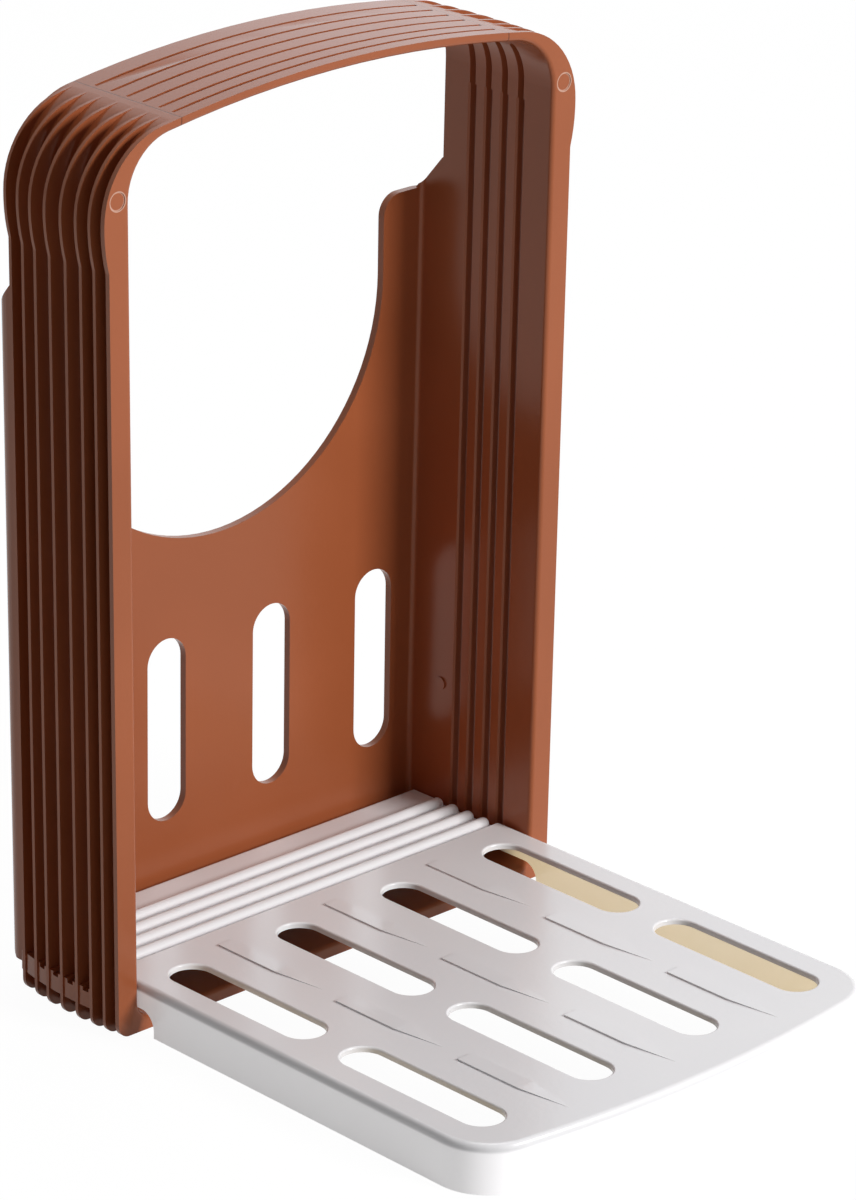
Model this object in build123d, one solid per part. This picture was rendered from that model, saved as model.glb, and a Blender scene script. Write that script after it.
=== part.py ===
"""Folding bread slicing guide, in mm.

The slotted frame stands over the loaf, and the bread table hinges up into it.
Z is up, the front of the guide faces -Y, and X = 0 is its middle. Sizes below
are measured back from the front face of the front hoop. The finished pieces
are then moved so that the origin lies on the worktop under the hoops.
"""
import math
import os

from build123d import *

os.makedirs("parts", exist_ok=True)

# Slices: the blade slots stand at even steps in front of the back plate.
PLATE_FACE = 40.0
THINNEST_SLICE = 15.0
SLICE_STEP = 5.0
SLOT_COUNT = 4
SLOT_WIDTH = 1.8
SLOT_TOP_DROP = 10.0
SLOT_CORNER_INSET = 10.8

# Hoop outline, seen from the front.
LOAF_WIDTH = 117.5
SIDE_SLOPE = 0.0099
WALL = 1.9
FIN_DEPTH = 3.8
BULGE = 1.15
BULGE_START_DROP = 33.0
BULGE_FULL_DROP = 24.5
HEIGHT = 206.0
ARCH_THICKNESS = 2.1
CROWN_RADIUS = 311.0
INNER_CORNER = 13.0
WALL_CORNER = 16.5
FIN_CORNER = 18.5
FOOT_ROUND = 3.0
FLOOR_ROUND = 4.0
FRONT_EDGE_ROUND = 1.0

# Hoop depth, the eight fins and the six lines across the arch.
HOOP_TO_PLATE = 6.4
FRONT_FIN_THICKNESS = 1.2
FIN_THICKNESS = 0.85
FIN_BOW = 1.5
BOW_MIDDLE = 14.4
BOW_REACH = 16.0
FRONT_FIN_STEP = 3.8
SLOT_TO_FIN = 0.7
REAR_FIN_INSET = 2.0
LINE_WIDTH = 0.9
LINE_DEPTH = 0.7
LINE_END_DEPTH = 0.2
FRONT_LINE = 3.6
LINE_SHIFT = 0.3
MARK_RADIUS = 2.0
MARK_DEPTH = 0.25
MARK_INSET = 3.2
MARK_DROP = 17.9
SLOT_EDGE = 0.4

# Side bar, floor plate and back plate.
FLOOR_THICKNESS = 3.0
FLOOR_BACK_INSET = 4.6
PLATE_THICKNESS = 1.8
PLATE_TOP = 155.5
PLATE_BOTTOM = 4.6
PLATE_CORNER = 4.2
PLATE_INSIDE_CORNER = 1.2
WING_RISE = 8.5
WING_ROUND = 1.5
WING_CHAMFER = 3.0
WING_LAND = 0.8
SHOULDER_ROUND = 5.0
CUTOUT_RADIUS = 48.6
CUTOUT_BELOW_TOP = 18.3
CUTOUT_EDGE = 0.7
HAND_SLOT_COUNT = 4
HAND_SLOT_PITCH = 31.2
HAND_SLOT_WIDTH = 11.2
HAND_SLOT_BOTTOM = 23.6
HAND_SLOT_LENGTH = 43.6
SLOT_BELOW_GROOVE = 1.4
BAR_ABOVE_SLOT = 0.9
BAR_INSET = 0.25

# Catch bumps on the side walls.
CATCH_RADIUS = 1.5
CATCH_HEIGHT = 0.4
CATCH_RISE = 31.0

# Bread table.
TABLE_GAP = 0.6
TABLE_TOP = 11.5
TABLE_THICKNESS = 1.3
TABLE_REACH = 110.8
TABLE_FRONT_RADIUS = 330.0
TABLE_CORNER = 13.0
TABLE_EDGE = 1.2
SKIRT = 1.8
NOTCH_REACH = 4.5
NOTCH_ROUND = 4.0
STRIP_DROP = 1.2
STRIP_EDGE = 1.2
RIDGE_COUNT = 4
RIDGE_RADIUS = 1.5
RIDGE_ABOVE_TOP = 0.5
RIDGE_END_GAP = 0.9
RIDGE_END_ROUND = 1.2
GROOVE_DROP = 1.9
TABLE_SLOT_WIDTH = 10.0
TABLE_SLOT_EDGE = 0.5
TABLE_SLOT_BACK = 1.0
TABLE_BRIDGE = 8.6
TABLE_FRONT_LAND = 12.8
TABLE_PITCH = 31.4
RIB_REACH = 12.9
RIB_FRONT_LAND = 23.3
RIB_ROWS = 3
RIB_WIDTH = 4.3
RIB_BODY = 18.0
RIB_POINT = 13.0
RIB_HEIGHT = 0.4

# Hinge of the bread table.
PIN_TO_PLATE = 6.0
PIN_TO_TABLE_BACK = 4.2
PIN_BELOW_TOP = 3.5
PIN_TO_SKIRT = 2.4
PIN_RADIUS = 1.5
PIN_CLEARANCE = 0.05
PIN_HOLE_DEPTH = 1.3
PIN_END_GAP = 0.2

# Sizes that follow from the ones above.
INNER = LOAF_WIDTH / 2
WALL_OUT = INNER + WALL
LEG_OUT = WALL_OUT + FIN_DEPTH
SHOULDER_OUT = LEG_OUT + BULGE
ARCH_INSIDE = HEIGHT - ARCH_THICKNESS
HOOP_DEPTH = PLATE_FACE - HOOP_TO_PLATE
PLATE_BACK = PLATE_FACE + PLATE_THICKNESS
TABLE_HALF = INNER - TABLE_GAP
STRIP_TOP = TABLE_TOP - STRIP_DROP
GROOVE_FLOOR = TABLE_TOP - GROOVE_DROP
RIDGE_Z = TABLE_TOP + RIDGE_ABOVE_TOP - RIDGE_RADIUS
SLOT_BOTTOM = GROOVE_FLOOR - SLOT_BELOW_GROOVE
SLOT_TOP = HEIGHT - SLOT_TOP_DROP
PIN_Y = PLATE_FACE - PIN_TO_PLATE
PIN_Z = TABLE_TOP - PIN_BELOW_TOP
TABLE_BACK = PIN_Y + PIN_TO_TABLE_BACK
SKIRT_BOTTOM = PIN_Z - PIN_TO_SKIRT
FIRST_SLOT = PLATE_FACE - THINNEST_SLICE
HALF_STEP = SLICE_STEP / 2
SLOTS = [FIRST_SLOT - SLICE_STEP * k for k in range(SLOT_COUNT)]
RIDGES = [FIRST_SLOT + HALF_STEP - SLICE_STEP * k for k in range(RIDGE_COUNT)]
GROOVES_FRONT = RIDGES[-1] - SLICE_STEP + RIDGE_RADIUS
GROOVES_BACK = RIDGES[0] + RIDGE_RADIUS
TABLE_SLOT_LENGTH = (TABLE_REACH + TABLE_SLOT_BACK - TABLE_FRONT_LAND - TABLE_BRIDGE) / 2
TABLE_SLOT_REAR = TABLE_SLOT_BACK - TABLE_SLOT_LENGTH / 2
TABLE_SLOT_FRONT = TABLE_SLOT_REAR - TABLE_SLOT_LENGTH - TABLE_BRIDGE
RIB_STEP = (TABLE_REACH - RIB_REACH - RIB_FRONT_LAND) / (RIB_ROWS - 1)
LINES = [FRONT_LINE, SLOTS[-1] - HALF_STEP + LINE_SHIFT]
LINES += [y + HALF_STEP + LINE_SHIFT for y in SLOTS]
FINS = [0.0, FRONT_FIN_STEP, 2 * FRONT_FIN_STEP]
FINS += [y + HALF_STEP - FIN_THICKNESS / 2 for y in reversed(SLOTS[1:])]
FINS += [FIRST_SLOT + SLOT_WIDTH / 2 + SLOT_TO_FIN, HOOP_DEPTH - REAR_FIN_INSET]

# How far cutting tools reach past the faces that they cut.
PAST = 20.0


def crown(half_width, apex):
    """Height of the arched top at a distance from the middle."""
    return apex - CROWN_RADIUS + math.sqrt(CROWN_RADIUS ** 2 - half_width ** 2)


def side_top(half_width, apex):
    """Height at which a leaning side meets the circle of the arched top."""
    centre = apex - CROWN_RADIUS
    lean = 1 + SIDE_SLOPE ** 2
    middle = centre - half_width * SIDE_SLOPE
    rest = half_width ** 2 + centre ** 2 - CROWN_RADIUS ** 2
    return (middle + math.sqrt(middle ** 2 - lean * rest)) / lean


def arch_face(half_width, apex, bottom, top_round, bottom_round=0.0):
    """Upright hoop outline with an arched top, rounded corners and sides
    that lean outwards, starting from a half width at the worktop."""
    top = side_top(half_width, apex)
    low = half_width + SIDE_SLOPE * bottom
    high = half_width + SIDE_SLOPE * top
    left = (-high, top)
    right = (high, top)
    edges = [Line((-low, bottom), (low, bottom)), Line((low, bottom), right)]
    edges += [ThreePointArc(right, (0, apex), left), Line(left, (-low, bottom))]
    corners = make_face(edges).vertices().sort_by(Axis.Y)
    outline = fillet(corners[-2:], top_round)
    if bottom_round:
        corners = outline.vertices().sort_by(Axis.Y)
        outline = fillet(corners[:2], bottom_round)
    return outline


def upright(face, start, depth):
    """Stand a front outline up and give it depth from one distance back."""
    plane = Plane(origin=(0, start, 0), x_dir=(1, 0, 0), z_dir=(0, -1, 0))
    return extrude(plane * face, -depth)


def side_profile(outline, left, right):
    """Extrude an outline of distance back and height across the guide."""
    plane = Plane(origin=(left, 0, 0), x_dir=(0, 1, 0), z_dir=(1, 0, 0))
    return extrude(plane * outline, right - left)


def block(x0, x1, y0, y1, z0, z1):
    """Plain box between two corners."""
    middle = Pos((x0 + x1) / 2, (y0 + y1) / 2, (z0 + z1) / 2)
    return middle * Box(x1 - x0, y1 - y0, z1 - z0)


def cross_rod(x, y, z, radius, length):
    """Round bar lying across the guide, centred on a point."""
    return Pos(x, y, z) * Rot(0, 90, 0) * Cylinder(radius, length)


def bow(y):
    """Extra depth of the fins, which bow gently from front to back."""
    front = ((0.0 - BOW_MIDDLE) / BOW_REACH) ** 2
    return FIN_BOW * (front - ((y - BOW_MIDDLE) / BOW_REACH) ** 2)


def fin_outline(extra):
    """Outer outline of a fin: straight leg, then a slight bulge at the top."""
    wide = arch_face(SHOULDER_OUT + extra, HEIGHT, 0.0, FIN_CORNER)
    start_z = HEIGHT - BULGE_START_DROP
    full_z = HEIGHT - BULGE_FULL_DROP
    middle_z = (start_z + full_z) / 2
    leg = LEG_OUT + extra
    far = SHOULDER_OUT + extra + PAST
    for side in (-1, 1):
        low = (side * (leg - SIDE_SLOPE * PAST), -PAST)
        start = (side * (leg + SIDE_SLOPE * start_z), start_z)
        middle = (side * (leg + 0.72 * BULGE + SIDE_SLOPE * middle_z), middle_z)
        full = (side * (leg + BULGE + SIDE_SLOPE * full_z), full_z)
        edges = [Line(low, start), ThreePointArc(start, middle, full)]
        edges += [Line(full, (side * far, full_z)), Line((side * far, full_z), (side * far, -PAST))]
        wide -= make_face([*edges, Line((side * far, -PAST), low)])
    corners = wide.vertices().sort_by(Axis.Y)
    return fillet(corners[:2], FOOT_ROUND)


def arch_line(y):
    """Shallow line across the arch, fading towards its ends."""
    end = INNER - INNER_CORNER
    left = (-end, crown(end, HEIGHT) - LINE_END_DEPTH)
    right = (end, crown(end, HEIGHT) - LINE_END_DEPTH)
    high_left = (-end, HEIGHT + PAST)
    high_right = (end, HEIGHT + PAST)
    edges = [ThreePointArc(left, (0, HEIGHT - LINE_DEPTH), right), Line(right, high_right)]
    edges += [Line(high_right, high_left), Line(high_left, left)]
    return upright(make_face(edges), y - LINE_WIDTH / 2, LINE_WIDTH)


def blade_slot(side, y):
    """Slot for the blade through one side wall, rounded at its top."""
    half = SLOT_WIDTH / 2
    near = INNER - SLOT_CORNER_INSET
    far = SHOULDER_OUT + PAST
    left, right = sorted((side * near, side * far))
    slot = block(left, right, y - half, y + half, SLOT_BOTTOM, SLOT_TOP - half)
    return slot + cross_rod((left + right) / 2, y, SLOT_TOP - half, half, right - left)


def slot_mouth(side, y):
    """Bevel on both edges of a blade slot, up the straight inner wall."""
    half = SLOT_WIDTH / 2
    near = side * (INNER + SIDE_SLOPE * SLOT_BOTTOM)
    deep = near + side * SLOT_EDGE
    wide = half + SLOT_EDGE
    outline = Polyline((near, y - wide), (near, y + wide), (deep, y + half), (deep, y - half),
                       close=True)
    foot = Pos(0, 0, SLOT_BOTTOM) * make_face(outline)
    height = HEIGHT - ARCH_THICKNESS - INNER_CORNER - BULGE_FULL_DROP / 3 - SLOT_BOTTOM
    return extrude(foot, height, dir=(side * SIDE_SLOPE, 0, 1))


def mould_mark(side):
    """Faint round mark on the front face near a top corner."""
    z = HEIGHT - MARK_DROP
    face = Pos(side * (INNER + SIDE_SLOPE * z + MARK_INSET), z) * Circle(MARK_RADIUS)
    return upright(face, -PAST, PAST + MARK_DEPTH)


def back_shell():
    """Back plate with a side wing each side: the walls turn the corner behind
    the hoops, and the plate is cut out for the hand and slotted below."""
    start = HOOP_DEPTH - REAR_FIN_INSET
    outer = upright(arch_face(WALL_OUT, HEIGHT, 0.0, WALL_CORNER), start, PLATE_BACK - start)
    corners = outer.edges().group_by(Axis.Y)[-1].sort_by(Axis.X)
    outer = fillet([corners[0], corners[-1]], PLATE_CORNER)
    inside = arch_face(INNER, ARCH_INSIDE, -PAST, INNER_CORNER)
    inner = upright(inside, start - PAST, PLATE_FACE - start + PAST)
    corners = inner.edges().group_by(Axis.Y)[-1].sort_by(Axis.X)
    inner = fillet([corners[0], corners[-1]], PLATE_INSIDE_CORNER)
    points = [(start, PLATE_BOTTOM), (PLATE_BACK - WING_CHAMFER, PLATE_BOTTOM)]
    points += [(PLATE_BACK, PLATE_BOTTOM + WING_CHAMFER), (PLATE_BACK, PLATE_TOP)]
    points += [(PLATE_FACE + WING_LAND, PLATE_TOP), (HOOP_DEPTH, PLATE_TOP + WING_RISE)]
    points += [(start, PLATE_TOP + WING_RISE)]
    outline = make_face(Polyline(*points, close=True))
    top = outline.vertices().group_by(Axis.Y)[-1].sort_by(Axis.X)[-1]
    outline = fillet(top, WING_ROUND)
    far = SHOULDER_OUT + PAST
    shell = (outer - inner) & side_profile(outline, -far, far)
    return shell - plate_cuts()


def plate_cuts():
    """Cut-out for the hand, open at the top, and the row of long slots."""
    cutout_centre = PLATE_TOP - CUTOUT_BELOW_TOP
    cutout = Pos(0, cutout_centre) * Circle(CUTOUT_RADIUS)
    above = 2 * PAST + CUTOUT_BELOW_TOP
    cutout += Pos(0, cutout_centre + above / 2) * Rectangle(2 * CUTOUT_RADIUS, above)
    wide = CUTOUT_RADIUS + SHOULDER_ROUND
    shoulder = Rectangle(2 * wide, SHOULDER_ROUND)
    shoulder = Pos(0, PLATE_TOP - SHOULDER_ROUND / 2) * shoulder
    for side in (-1, 1):
        shoulder -= Pos(side * wide, PLATE_TOP - SHOULDER_ROUND) * Circle(SHOULDER_ROUND)
    inside = INNER + SIDE_SLOPE * PLATE_TOP - PLATE_INSIDE_CORNER
    outline = cutout + shoulder + Pos(0, PLATE_TOP + PAST) * Rectangle(2 * inside, 2 * PAST)
    slot_centre = HAND_SLOT_BOTTOM + HAND_SLOT_LENGTH / 2
    for k in range(HAND_SLOT_COUNT):
        x = (k - (HAND_SLOT_COUNT - 1) / 2) * HAND_SLOT_PITCH
        slot = SlotOverall(HAND_SLOT_LENGTH, HAND_SLOT_WIDTH, rotation=90)
        outline += Pos(x, slot_centre) * slot
    return upright(outline, HOOP_DEPTH, PLATE_BACK - HOOP_DEPTH + PAST)


def side_bar(side):
    """Low bar that ties the fins beside the blade slots together."""
    near = side * (WALL_OUT - WALL / 2)
    front, back = FINS[2], HOOP_DEPTH
    middle = (front + back) / 2
    arc = [(side * (LEG_OUT + bow(y) - BAR_INSET), y) for y in (front, middle, back)]
    edges = [ThreePointArc(*arc), Line(arc[2], (near, back))]
    edges += [Line((near, back), (near, front)), Line((near, front), arc[0])]
    foot = Pos(0, 0, PLATE_BOTTOM) * make_face(edges)
    return extrude(foot, SLOT_BOTTOM + BAR_ABOVE_SLOT - PLATE_BOTTOM)


def catch(side):
    """Small round bump in front of the folded table's skirt."""
    y = PIN_Y - PIN_TO_SKIRT - CATCH_RADIUS
    z = PIN_Z + CATCH_RISE
    x = side * (INNER + SIDE_SLOPE * z - CATCH_HEIGHT / 2 + WALL / 4)
    return cross_rod(x, y, z, CATCH_RADIUS, CATCH_HEIGHT + WALL / 2)


def hinge_hole(side):
    """Blind hole in the side wall for one pin of the table."""
    wall_face = INNER + SIDE_SLOPE * PIN_Z
    x = side * (wall_face + (PIN_HOLE_DEPTH - TABLE_GAP) / 2)
    return cross_rod(x, PIN_Y, PIN_Z, PIN_RADIUS + PIN_CLEARANCE, PIN_HOLE_DEPTH + TABLE_GAP)


def hoop_layers():
    """Front to back, each fin and each stretch of wall between two fins."""
    arch_space = arch_face(INNER, ARCH_INSIDE, -PAST, INNER_CORNER)
    loaf_space = arch_face(INNER, ARCH_INSIDE, FLOOR_THICKNESS, INNER_CORNER, FLOOR_ROUND)
    wall = arch_face(WALL_OUT, HEIGHT, 0.0, WALL_CORNER)
    floor_back = HOOP_DEPTH - FLOOR_BACK_INSET
    layers = []
    wall_start = 0.0
    for y in FINS:
        if wall_start < floor_back < y:
            layers.append(upright(wall - loaf_space, wall_start, floor_back - wall_start))
            wall_start = floor_back
        if y > wall_start:
            space = loaf_space if wall_start < floor_back else arch_space
            layers.append(upright(wall - space, wall_start, y - wall_start))
        space = loaf_space if y < floor_back else arch_space
        thickness = FIN_THICKNESS if y else FRONT_FIN_THICKNESS
        layers.append(upright(fin_outline(bow(y)) - space, y, thickness))
        wall_start = y + thickness
    layers.append(upright(wall - arch_space, wall_start, HOOP_DEPTH - wall_start))
    return layers


def guide_frame():
    """One-piece frame: hoops, walls, floor and back plate."""
    front, *layers = hoop_layers()
    rim = front.faces().sort_by(Axis.Y)[0].inner_wires()[0].edges()
    frame = fillet(rim, FRONT_EDGE_ROUND) + layers
    ties = [back_shell()]
    for side in (-1, 1):
        ties += [side_bar(side), catch(side)]
    frame += ties
    cuts = [arch_line(y) for y in LINES]
    for side in (-1, 1):
        cuts += [blade_slot(side, y) for y in SLOTS]
        cuts += [slot_mouth(side, y) for y in SLOTS]
        cuts += [hinge_hole(side), mould_mark(side)]
    return frame - cuts


def table_half(y):
    """Half width of the table, which widens towards its front as the frame
    widens upwards, so that the gap stays the same once it is folded."""
    return TABLE_HALF + SIDE_SLOPE * (PIN_Y - y)


def table_outline(inset):
    """Outline of the table from above: square behind, gently bowed in front."""
    front = inset - TABLE_REACH
    back = TABLE_BACK - inset
    half = table_half(front) - inset
    rise = TABLE_FRONT_RADIUS - math.sqrt(TABLE_FRONT_RADIUS ** 2 - half ** 2)
    rear = table_half(back) - inset
    left = (-half, front + rise)
    right = (half, front + rise)
    edges = [ThreePointArc(left, (0, front), right), Line(right, (rear, back))]
    edges += [Line((rear, back), (-rear, back)), Line((-rear, back), left)]
    corners = make_face(edges).vertices().sort_by(Axis.Y)
    return fillet(corners[:2], TABLE_CORNER - inset)


def table_rib(x, y):
    """Low dart: a flat top with upright sides, then a ramp down to a point."""
    half = RIB_WIDTH / 2
    back = y + (RIB_BODY + RIB_POINT) / 2
    neck = back - RIB_BODY
    tip = neck - RIB_POINT
    sunk = TABLE_TOP - TABLE_THICKNESS / 2
    plan = Polyline((x - half, back), (x + half, back), (x + half, neck), (x, tip),
                    (x - half, neck), close=True)
    dart = extrude(Pos(0, 0, sunk) * make_face(plan), TABLE_THICKNESS)
    top = TABLE_TOP + RIB_HEIGHT
    side = Polyline((back, sunk), (back, top), (neck, top), (tip, TABLE_TOP), (tip, sunk),
                    close=True)
    return dart & side_profile(make_face(side), x - RIB_WIDTH, x + RIB_WIDTH)


def table_ridge(y):
    """Round rod across the back of the table, with rounded ends."""
    length = 2 * (table_half(y) - RIDGE_END_GAP)
    rod = cross_rod(0, y, RIDGE_Z, RIDGE_RADIUS, length)
    return fillet(rod.edges().filter_by(GeomType.CIRCLE), RIDGE_END_ROUND)


def hinge_pin(side):
    """Stub pin on the side of the table."""
    reach = INNER + SIDE_SLOPE * PIN_Z + PIN_HOLE_DEPTH - PIN_END_GAP - TABLE_HALF
    x = side * (TABLE_HALF + (reach - SKIRT) / 2)
    return cross_rod(x, PIN_Y, PIN_Z, PIN_RADIUS, reach + SKIRT)


def table_slots():
    """Outlines of the long slots in the table."""
    slot = SlotOverall(TABLE_SLOT_LENGTH, TABLE_SLOT_WIDTH, rotation=90)
    rows = (TABLE_SLOT_REAR, TABLE_SLOT_FRONT)
    return [Pos(k * TABLE_PITCH, y) * slot for k in (-1.5, -0.5, 0.5, 1.5) for y in rows]


def under_table():
    """Space under the table: hollow skirt, raised where the floor passes."""
    wide = TABLE_HALF + PAST
    low = extrude(table_outline(SKIRT), TABLE_TOP - TABLE_THICKNESS)
    low -= block(-wide, wide, GROOVES_FRONT - TABLE_THICKNESS, TABLE_BACK + PAST, -PAST, TABLE_TOP)
    rear = extrude(table_outline(SKIRT), GROOVE_FLOOR - TABLE_THICKNESS)
    rear -= block(-wide, wide, -TABLE_REACH - PAST, 0, -PAST, TABLE_TOP)
    notch = block(-wide, wide, -NOTCH_REACH, TABLE_BACK + PAST, -PAST, SKIRT_BOTTOM)
    corner = notch.edges().filter_by(Axis.X).group_by(Axis.Y)[0].sort_by(Axis.Z)[-1]
    return [low, rear, fillet(corner, NOTCH_ROUND)]


def bread_table():
    """White table: slotted top with a skirt, ridges at the back and ribs."""
    wide = TABLE_HALF + PAST
    table = extrude(table_outline(0), TABLE_TOP)
    rim = table.edges().group_by(Axis.Z)[-1].sort_by(Axis.Y)[:-1]
    table = fillet(rim, TABLE_EDGE)
    table -= [extrude(slot, TABLE_TOP + PAST) for slot in table_slots()]
    top_face = table.faces().filter_by(Plane.XY).sort_by(Axis.Z)[-1]
    slot_rims = [edge for wire in top_face.inner_wires() for edge in wire.edges()]
    table = fillet(slot_rims, TABLE_SLOT_EDGE)
    strip = block(-wide, wide, GROOVES_FRONT, TABLE_BACK + PAST, STRIP_TOP, TABLE_TOP + PAST)
    table -= [strip, block(-wide, wide, GROOVES_FRONT, GROOVES_BACK, GROOVE_FLOOR, TABLE_TOP)]
    table -= under_table()
    back = table.edges().filter_by(Axis.X).group_by(Axis.Y)[-1].sort_by(Axis.Z)[-1]
    table = fillet(back, STRIP_EDGE)
    ridges = [table_ridge(y) for y in RIDGES]
    ribs = []
    for x in (-TABLE_PITCH, 0, TABLE_PITCH):
        ribs += [table_rib(x, -RIB_REACH - RIB_STEP * k) for k in range(RIB_ROWS)]
    return table + [*ridges, *ribs, hinge_pin(-1), hinge_pin(1)]


ORIGIN = Pos(0, -HOOP_DEPTH / 2, 0)
pieces = {"guide_frame": guide_frame(), "bread_table": bread_table()}
for name, shape in pieces.items():
    placed = ORIGIN * shape
    print(name, len(placed.solids()), round(placed.volume / 1000, 2), placed.bounding_box())
    export_step(placed, f"parts/{name}.step")
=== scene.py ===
"""Looks of a folding bread slicing guide: brown slotted frame, white table."""
import math

import bmesh
import bpy
from mathutils import Matrix, Vector

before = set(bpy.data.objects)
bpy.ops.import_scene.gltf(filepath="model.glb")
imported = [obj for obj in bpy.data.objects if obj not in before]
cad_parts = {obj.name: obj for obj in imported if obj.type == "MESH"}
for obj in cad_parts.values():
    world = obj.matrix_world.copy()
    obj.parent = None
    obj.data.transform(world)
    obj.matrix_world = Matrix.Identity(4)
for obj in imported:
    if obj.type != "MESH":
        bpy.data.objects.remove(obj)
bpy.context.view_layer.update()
scene = bpy.context.scene
scene.view_settings.view_transform = "Standard"


# Camera. It looks down at the guide from its front left with a long lens,
# turned very slightly clockwise. The aim lies in the plane of the front hoop.
CAMERA_AZIMUTH = math.radians(-44.129)
CAMERA_ELEVATION = math.radians(21.934)
CAMERA_ROLL = math.radians(0.984)
CAMERA_DISTANCE = 1.26617
CAMERA_AIM = Vector((0.025409, -0.0168, 0.077568))
IMAGE_WIDTH = 856
SENSOR_WIDTH = 36.0
FOCAL_PIXELS = 5777.3

camera_data = bpy.data.cameras.new("camera")
camera_data.sensor_fit = "HORIZONTAL"
camera_data.sensor_width = SENSOR_WIDTH
camera_data.lens = FOCAL_PIXELS / IMAGE_WIDTH * SENSOR_WIDTH
camera = bpy.data.objects.new("camera", camera_data)
scene.collection.objects.link(camera)
turn = Matrix.Rotation(CAMERA_AZIMUTH, 4, "Z")
turn @= Matrix.Rotation(math.pi / 2 - CAMERA_ELEVATION, 4, "X")
turn @= Matrix.Rotation(CAMERA_ROLL, 4, "Z")
back_off = turn.to_3x3() @ Vector((0, 0, CAMERA_DISTANCE))
camera.matrix_world = Matrix.Translation(CAMERA_AIM + back_off) @ turn
scene.camera = camera


# Shader maths. A socket is wrapped so that node graphs read as expressions.
class Socket:
    """An output of a node tree that can be added, multiplied and so on."""

    def __init__(self, tree, output):
        self.tree = tree
        self.output = output

    def node(self, kind, settings=None, **values):
        """Add a node, set it up, fill its sockets and wrap its first output."""
        made = self.tree.nodes.new(kind)
        for name, value in (settings or {}).items():
            setattr(made, name, value)
        for name, value in values.items():
            key = int(name[1:]) if name[0] == "_" else name.replace("_", " ")
            if isinstance(value, Socket):
                self.tree.links.new(value.output, made.inputs[key])
            else:
                made.inputs[key].default_value = value
        return Socket(self.tree, made.outputs[0])

    def math(self, operation, other=0.0, swap=False):
        """One Math node on this value and another."""
        first, second = (other, self) if swap else (self, other)
        return self.node("ShaderNodeMath", {"operation": operation},
                         _0=first, _1=second)

    def __add__(self, other):
        return self.math("ADD", other)

    __radd__ = __add__

    def __mul__(self, other):
        return self.math("MULTIPLY", other)

    __rmul__ = __mul__

    def __sub__(self, other):
        return self.math("SUBTRACT", other)

    def __rsub__(self, other):
        return self.math("SUBTRACT", other, swap=True)

    def between(self, low, high):
        """0 below low, 1 above high, smooth between them."""
        return self.node("ShaderNodeMapRange", {"interpolation_type": "SMOOTHSTEP"},
                         Value=self, From_Min=low, From_Max=high)

    def near(self, value, reach):
        """1 within half the reach of a value, smooth down to 0 at the reach."""
        return 1 - (self - value).math("ABSOLUTE").between(reach / 2, reach)

    def mix(self, colour_a, colour_b):
        """Blend two colours by this value."""
        mixed = self.node("ShaderNodeMix", {"data_type": "RGBA"},
                          _0=self, _6=colour_a, _7=colour_b)
        return Socket(self.tree, mixed.output.node.outputs[2])

    def axis(self, index):
        """X, Y or Z of a vector."""
        split = self.node("ShaderNodeSeparateXYZ", Vector=self).output.node
        return Socket(self.tree, split.outputs[index])

    def noise(self, bumps):
        """Noise of about so many bumps in a metre at this place."""
        return self.node("ShaderNodeTexNoise", Vector=self, Scale=bumps, Detail=2.0)


def new_material(name):
    """A material, its shader, and the place of each point as a socket."""
    material = bpy.data.materials.new(name)
    material.use_nodes = True
    tree = material.node_tree
    shader = tree.nodes["Principled BSDF"]
    coordinates = tree.nodes.new("ShaderNodeTexCoord")
    return material, shader, Socket(tree, coordinates.outputs["Object"])


def feed(node, name, socket):
    """Link a value or colour to a named socket of a node."""
    socket.tree.links.new(socket.output, node.inputs[name])


# Moulded plastic. What both pieces share: a colour that drifts a little, an
# uneven gloss, and the orange peel that a mould leaves.
TONE_FROM = 0.35
TONE_TO = 0.7
ROUGHNESS_LEAST = 0.20
ROUGHNESS_SPREAD = 0.08
PEEL_STRENGTH = 0.05
PEEL_DEPTH = 0.0004


def drifting_tone(place, bumps, deep, light):
    """A colour that drifts between two over a few bumps in a metre."""
    return place.noise(bumps).between(TONE_FROM, TONE_TO).mix(deep, light)


def uneven_gloss(place, bumps):
    """A roughness that varies a little over the surface."""
    return place.noise(bumps) * ROUGHNESS_SPREAD + ROUGHNESS_LEAST


def orange_peel(height):
    """A faint relief made from a height."""
    return height.node("ShaderNodeBump", Strength=PEEL_STRENGTH,
                       Distance=PEEL_DEPTH, Height=height)


def cover(node_name, material):
    """Give a CAD node its one material."""
    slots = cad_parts[node_name].data.materials
    slots.clear()
    slots.append(material)


# Frame. One brown glossy plastic moulding. Its colour is a little uneven and the mould
# leaves a faint orange peel. The two halves of its top meet in a thin line across the
# arch, and each round mould mark in front has a light rim painted in, a painted
# highlight where its edge would catch the light.
BROWN_DEEP = (0.300, 0.082, 0.030, 1)
BROWN_LIGHT = (0.335, 0.094, 0.036, 1)
BROWN_SPECULAR = 0.40
SPECULAR_TINT = (0.95, 0.72, 0.62, 1)
BROWN_TONE_BUMPS = 18.0
BROWN_GLOSS_BUMPS = 70.0
BROWN_PEEL_BUMPS = 900.0
LINE_BROWN = (0.08, 0.02, 0.008, 1)
RIM_PAINTED_HIGHLIGHT = (0.75, 0.55, 0.45, 1)
LINE_SHOWS = 0.7
RIM_HIGHLIGHT_SHOWS = 0.5
MOULD_LINE = 0.0466
MOULD_LINE_HALF = 0.00022
MOULD_LINE_ABOVE = 0.196
MARK_X = 0.06381
MARK_Z = 0.1881
MARK_RADIUS = 0.0020
MARK_RIM = 0.00028
FRONT_FACE = -0.0168
FACE_SKIN = 0.0003
FACE_FADE = 0.0001

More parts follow.
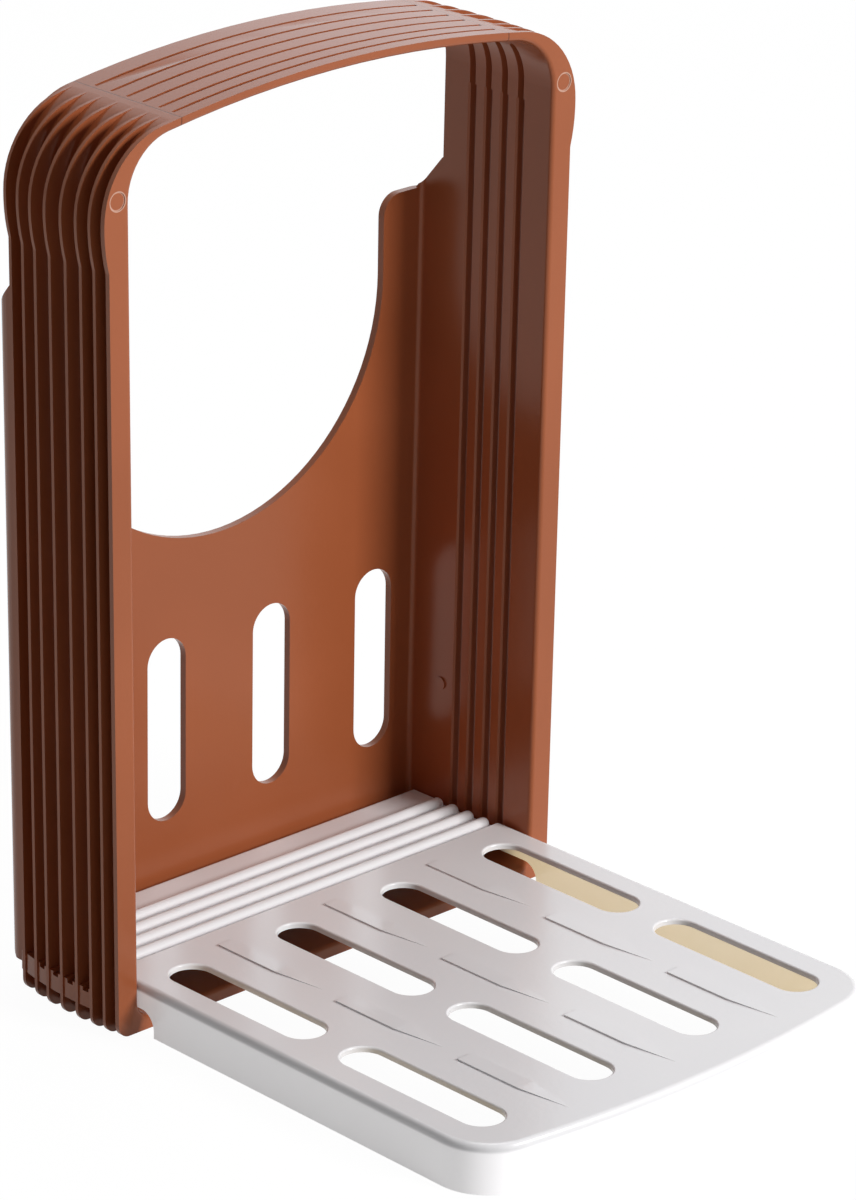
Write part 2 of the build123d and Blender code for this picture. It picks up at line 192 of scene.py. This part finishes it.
material, shader, place = new_material("brown_plastic")
side = place.axis(0).math("ABSOLUTE")
height = place.axis(2)
line = side.near(MOULD_LINE, MOULD_LINE_HALF)
line = line * height.math("GREATER_THAN", MOULD_LINE_ABOVE)
# Painted highlight: a light ring round each mould mark on the front face.
across = (side - MARK_X).math("POWER", 2.0)
along = (height - MARK_Z).math("POWER", 2.0)
rim_highlight = (across + along).math("SQRT").near(MARK_RADIUS, MARK_RIM)
skin = FRONT_FACE + FACE_SKIN
rim_highlight = rim_highlight * (1 - place.axis(1).between(skin, skin + FACE_FADE))
colour = drifting_tone(place, BROWN_TONE_BUMPS, BROWN_DEEP, BROWN_LIGHT)
colour = (line * LINE_SHOWS).mix(colour, LINE_BROWN)
colour = (rim_highlight * RIM_HIGHLIGHT_SHOWS).mix(colour, RIM_PAINTED_HIGHLIGHT)
feed(shader, "Base Color", colour)
feed(shader, "Roughness", uneven_gloss(place, BROWN_GLOSS_BUMPS))
feed(shader, "Normal", orange_peel(place.noise(BROWN_PEEL_BUMPS) - line))
shader.inputs["Specular IOR Level"].default_value = BROWN_SPECULAR
shader.inputs["Specular Tint"].default_value = SPECULAR_TINT
cover("guide_frame", material)


# Table. One white glossy plastic moulding with a thin top and a skirt. Its skirt and
# underside glow faintly, a painted glow that stands in for light bounced up from the
# floor, and its hollow inside glows cream, painted warm bounce light. The tops of its
# ribs are polished by the bread.
WHITE_DEEP = (0.78, 0.77, 0.785, 1)
WHITE_LIGHT = (0.81, 0.80, 0.81, 1)
WHITE_TONE_BUMPS = 20.0
WHITE_GLOSS_BUMPS = 60.0
WHITE_PEEL_BUMPS = 700.0
RIB_POLISH = 0.12
# Painted light: the skirt and underside get a glow that stands in for light bounced up
# from the floor, grey-white outside and warm cream in the hollow inside.
PAINTED_BOUNCE_STRENGTH = 0.42
OUTSIDE_PAINTED_BOUNCE = (0.68, 0.67, 0.67, 1)
INSIDE_PAINTED_BOUNCE = (1.0, 0.785, 0.43, 1)
NO_PAINTED_BOUNCE = (0, 0, 0, 1)
TABLE_TOP = 0.0115
RIB_SHOWS_AT = 0.0002
RIB_FADE = 0.0001
UNDERSIDE = 0.0102
UNDERSIDE_GAP = 0.0001
UNDERSIDE_FADE = 0.0010
CORNER_X = 0.0466
CORNER_Y = -0.1146
SKIRT_REACH = 0.0121
SKIRT_FADE = 0.0002
SIDE_SLOPE = 0.0099
FRONT_Y = -0.1276
FRONT_BOW = 0.5 / 0.330
GROOVES_FRONT = -0.0085
GROOVES_FADE = 0.008

material, shader, place = new_material("white_plastic")
# How far a point is outside the rounded corners' centres, with the skirt's
# tapered sides and bowed front straightened, tells its inside from its outside.
side = place.axis(0).math("ABSOLUTE") + (place.axis(1) - FRONT_Y) * SIDE_SLOPE
ahead = CORNER_Y - place.axis(1) + place.axis(0).math("POWER", 2.0) * FRONT_BOW
across = (side - CORNER_X).math("MAXIMUM", 0.0).math("POWER", 2.0)
along = ahead.math("MAXIMUM", 0.0).math("POWER", 2.0)
from_corner = (across + along).math("SQRT")
within = 1 - from_corner.between(SKIRT_REACH - SKIRT_FADE, SKIRT_REACH + SKIRT_FADE)
under = 1 - place.axis(2).between(UNDERSIDE - UNDERSIDE_FADE, UNDERSIDE - UNDERSIDE_GAP)
under = under * (1 - place.axis(1).between(GROOVES_FRONT - GROOVES_FADE, GROOVES_FRONT))
rib_from = TABLE_TOP + RIB_SHOWS_AT
rib = place.axis(2).between(rib_from, rib_from + RIB_FADE)
colour = drifting_tone(place, WHITE_TONE_BUMPS, WHITE_DEEP, WHITE_LIGHT)
feed(shader, "Base Color", colour)
polish = rib * RIB_POLISH
feed(shader, "Roughness", uneven_gloss(place, WHITE_GLOSS_BUMPS) - polish)
feed(shader, "Normal", orange_peel(place.noise(WHITE_PEEL_BUMPS)))
# Painted bounce light on the skirt and underside, cream inside the hollow.
painted_bounce = within.mix(OUTSIDE_PAINTED_BOUNCE, INSIDE_PAINTED_BOUNCE)
feed(shader, "Emission Color", under.mix(NO_PAINTED_BOUNCE, painted_bounce))
shader.inputs["Emission Strength"].default_value = PAINTED_BOUNCE_STRENGTH
cover("bread_table", material)


# Studio. A pale floor and a surround that are plain white to the camera and in
# reflections, and light the object only faintly. The floor keeps a part of the
# object's shadow.
SURROUND_LIGHT = 0.10
FLOOR_GREY = (0.6, 0.6, 0.6, 1)
FLOOR_ROUGHNESS = 0.6
FLOOR_GLOW = 1.04
FLOOR_WHITE = 0.93
FLOOR_SIDES = 96
FLOOR_RADIUS = 3.0
FLOOR_DROP = 0.0002


def seen_directly(tree):
    """1 for rays from the camera and in reflections, 0 for light that lights."""
    rays = tree.nodes.new("ShaderNodeLightPath")
    seen = Socket(tree, rays.outputs["Is Camera Ray"])
    for ray in ("Is Glossy Ray", "Is Transmission Ray"):
        seen = seen.math("MAXIMUM", Socket(tree, rays.outputs[ray]))
    return seen


world = bpy.data.worlds.new("surround")
world.use_nodes = True
scene.world = world
background = world.node_tree.nodes["Background"]
background.inputs["Color"].default_value = (1, 1, 1, 1)
light = seen_directly(world.node_tree) * (1 - SURROUND_LIGHT) + SURROUND_LIGHT
feed(background, "Strength", light)

bm = bmesh.new()
bmesh.ops.create_circle(bm, cap_ends=True, segments=FLOOR_SIDES,
                        radius=FLOOR_RADIUS)
floor_mesh = bpy.data.meshes.new("floor")
bm.to_mesh(floor_mesh)
bm.free()
floor = bpy.data.objects.new("floor", floor_mesh)
floor.location.z = -FLOOR_DROP
scene.collection.objects.link(floor)
material, shader, _ = new_material("floor")
shader.inputs["Base Color"].default_value = FLOOR_GREY
shader.inputs["Roughness"].default_value = FLOOR_ROUGHNESS
seen = seen_directly(material.node_tree)
white = seen.node("ShaderNodeEmission", Strength=FLOOR_GLOW)
lit = Socket(material.node_tree, shader.outputs[0])
mixed = seen.node("ShaderNodeMixShader", _0=seen * FLOOR_WHITE, _1=lit, _2=white)
feed(material.node_tree.nodes["Material Output"], "Surface", mixed)
floor_mesh.materials.append(material)


# Lamps. The key stands in front, a little to the right, a weak one hangs
# overhead, and a weaker, slightly blue one behind on the right puts a sheen on
# the arch.
def lamp(name, place, aim, size, power, colour=(1, 1, 1)):
    """A square soft lamp at a place, turned to its aim."""
    data = bpy.data.lights.new(name, "AREA")
    data.size = size
    data.energy = power
    data.color = colour
    made = bpy.data.objects.new(name, data)
    made.location = place
    beam = Vector(aim) - Vector(place)
    made.rotation_euler = beam.to_track_quat("-Z", "Y").to_euler()
    scene.collection.objects.link(made)


LOW_MIDDLE = (0, 0, 0.08)
HIGH_MIDDLE = (0, 0, 0.15)
PALE_BLUE = (0.8, 0.9, 1.0)

lamp("key", (0.5, -1.5, 0.8), LOW_MIDDLE, 0.5, 28)
lamp("top", (0.2, 0.1, 1.6), LOW_MIDDLE, 0.7, 7)
lamp("back", (0.97, 1.0, 0.75), HIGH_MIDDLE, 1.0, 1.5, PALE_BLUE)
